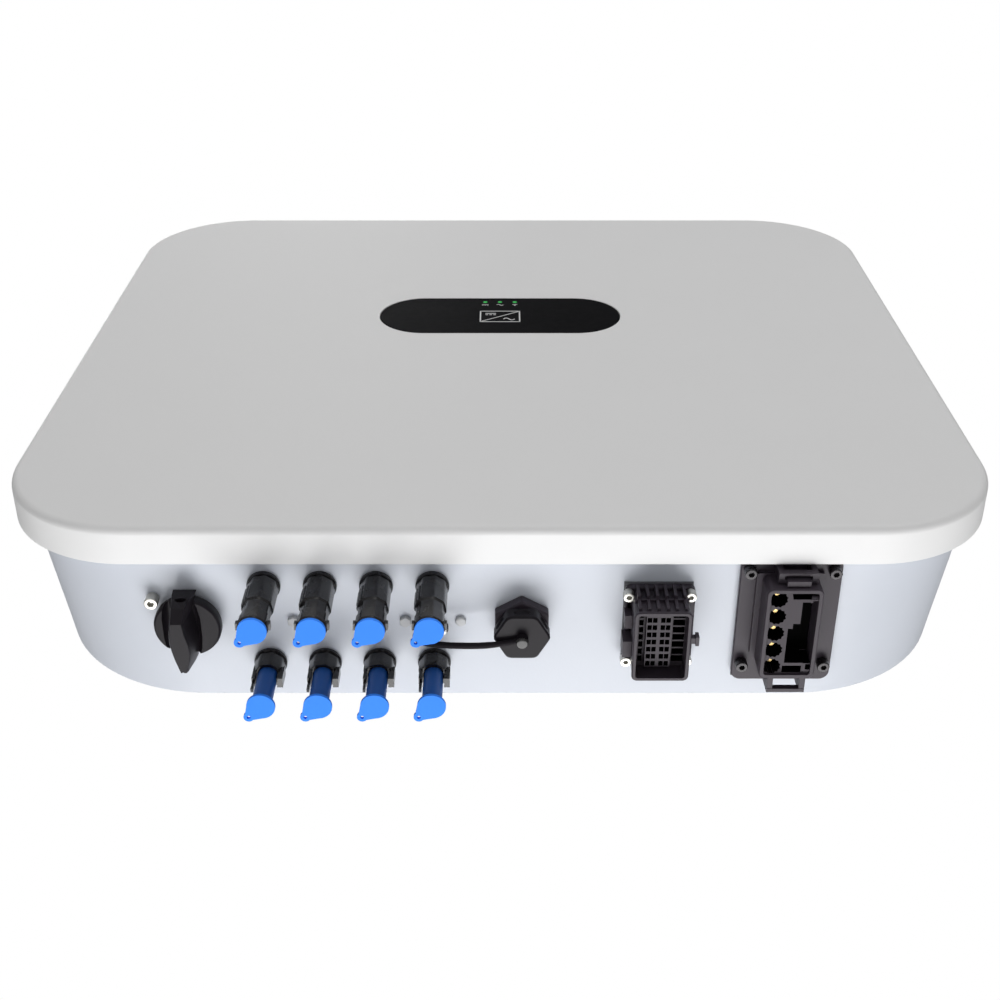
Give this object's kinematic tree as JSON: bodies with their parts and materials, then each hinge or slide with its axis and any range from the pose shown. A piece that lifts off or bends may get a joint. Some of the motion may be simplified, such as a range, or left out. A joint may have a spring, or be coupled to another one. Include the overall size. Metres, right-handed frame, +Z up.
{
  "type": "string inverter",
  "caption": "Wall-mounted solar string inverter: white front cover with dark status window, die-cast housing, finned heat sink, connectors and a rotary switch on the underside.",
  "frame": {"origin": "on the wall plane, on the object's vertical centre line, level with the middle of the front cover", "axes": "+X to the right seen from the front, +Y into the wall, +Z up; the front cover faces -Y and the connectors point down"},
  "size_m": [0.525, 0.262, 0.5017],
  "materials": {
    "white_paint": "satin white powder coat on aluminium",
    "grey_paint": "fine-textured light grey powder coat on die-cast aluminium",
    "window_black": "gloss black",
    "led_lens": "clear green light guide",
    "black_gloss": "moulded black, glossy",
    "black_satin": "moulded black, satin",
    "plum_plastic": "glass-filled dark grey nylon",
    "contact_plastic": "dark grey contact carrier",
    "plug_blue": "blue moulded plastic",
    "rubber_black": "soft black rubber",
    "gasket_grey": "dark grey silicone",
    "steel": "stainless steel",
    "black_steel": "black coated steel",
    "screw_grey": "light grey painted screw",
    "sink_aluminium": "as-cast aluminium fins",
    "bracket_steel": "galvanised steel sheet",
    "board_green": "green solder mask",
    "capacitor_sleeve": "black capacitor sleeve",
    "potting_black": "potting compound",
    "contact_brass": "plated contact"
  },
  "bodies": {
    "inverter": {"ac_contact_block": "contact_plastic", "ac_contacts": "contact_brass", "ac_housing": "plum_plastic", "ac_screws": "black_steel", "board_standoffs": "steel", "boost_inductors": "potting_black", "bracket_lock_screws": "steel", "bus_capacitors": "capacitor_sleeve", "cap_strap": "rubber_black", "com_contact_block": "contact_plastic", "com_housing": "plum_plastic", "com_screws": "steel", "control_board": "board_green", "cover_gasket": "gasket_grey", "cover_screws": "screw_grey", "dc_switch_body": "black_satin", "dc_switch_collar": "black_satin", "dongle_receptacle": "contact_plastic", "dongle_socket": "black_satin", "filter_inductors": "potting_black", "front_cover": "white_paint", "ground_screw": "steel", "hanging_plate": "bracket_steel", "heat_sink": "sink_aluminium", "housing": "grey_paint", "led_board": "board_green", "led_light_guides": "led_lens", "output_relays": "potting_black", "port_gaskets": "gasket_grey", "power_board": "board_green", "power_modules": "potting_black", "pv_front_socket_1": "black_gloss", "pv_front_socket_2": "black_gloss", "pv_front_socket_3": "black_gloss", "pv_front_socket_4": "black_gloss", "pv_locknuts": "potting_black", "pv_rear_socket_1": "black_gloss", "pv_rear_socket_2": "black_gloss", "pv_rear_socket_3": "black_gloss", "pv_rear_socket_4": "black_gloss", "pv_seals": "rubber_black", "status_window": "window_black", "strap_screw": "black_steel", "surge_arresters": "capacitor_sleeve", "underside_screws": "screw_grey", "vent_valve": "potting_black", "wall_bracket": "bracket_steel"},
    "switch_knob": {"dc_switch_knob": "black_satin", "dc_switch_shaft": "steel"},
    "dongle_hub": {"dongle_cap_hub": "black_satin"},
    "dongle_cap": {"dongle_cap": "black_satin"},
    "dust_plug_front_1": {"dust_plug_front_1": "plug_blue"},
    "dust_plug_front_2": {"dust_plug_front_2": "plug_blue"},
    "dust_plug_front_3": {"dust_plug_front_3": "plug_blue"},
    "dust_plug_front_4": {"dust_plug_front_4": "plug_blue"},
    "dust_plug_rear_1": {"dust_plug_rear_1": "plug_blue"},
    "dust_plug_rear_2": {"dust_plug_rear_2": "plug_blue"},
    "dust_plug_rear_3": {"dust_plug_rear_3": "plug_blue"},
    "dust_plug_rear_4": {"dust_plug_rear_4": "plug_blue"}
  },
  "joints": [
    {"name": "dc_switch_turn", "type": "hinge", "parent": "inverter", "child": "switch_knob", "pos_m": [-0.163, -0.2007, -0.233], "axis": [0, 0, -1], "range_deg": [0, 90]},
    {"name": "dongle_hub_slide", "type": "slide", "parent": "inverter", "child": "dongle_hub", "axis": [0, 0, -1], "range_m": [0, 0.006], "deforming": ["cap_strap"]},
    {"name": "dongle_cap_turn", "type": "hinge", "parent": "dongle_hub", "child": "dongle_cap", "pos_m": [0.0114, -0.1991, -0.2375], "axis": [0, 0, -1], "range_deg": [0, 720]},
    {"name": "plug_front_1_pull", "type": "slide", "parent": "inverter", "child": "dust_plug_front_1", "axis": [0, 0, -1], "range_m": [0, 0.03]},
    {"name": "plug_front_2_pull", "type": "slide", "parent": "inverter", "child": "dust_plug_front_2", "axis": [0, 0, -1], "range_m": [0, 0.03]},
    {"name": "plug_front_3_pull", "type": "slide", "parent": "inverter", "child": "dust_plug_front_3", "axis": [0, 0, -1], "range_m": [0, 0.03]},
    {"name": "plug_front_4_pull", "type": "slide", "parent": "inverter", "child": "dust_plug_front_4", "axis": [0, 0, -1], "range_m": [0, 0.03]},
    {"name": "plug_rear_1_pull", "type": "slide", "parent": "inverter", "child": "dust_plug_rear_1", "axis": [0, 0, -1], "range_m": [0, 0.03]},
    {"name": "plug_rear_2_pull", "type": "slide", "parent": "inverter", "child": "dust_plug_rear_2", "axis": [0, 0, -1], "range_m": [0, 0.03]},
    {"name": "plug_rear_3_pull", "type": "slide", "parent": "inverter", "child": "dust_plug_rear_3", "axis": [0, 0, -1], "range_m": [0, 0.03]},
    {"name": "plug_rear_4_pull", "type": "slide", "parent": "inverter", "child": "dust_plug_rear_4", "axis": [0, 0, -1], "range_m": [0, 0.03]}
  ],
  "couplings": [
    {"joint": "dongle_hub_slide", "follows": "dongle_cap_turn", "m_per_rad": 0.00047746}
  ]
}
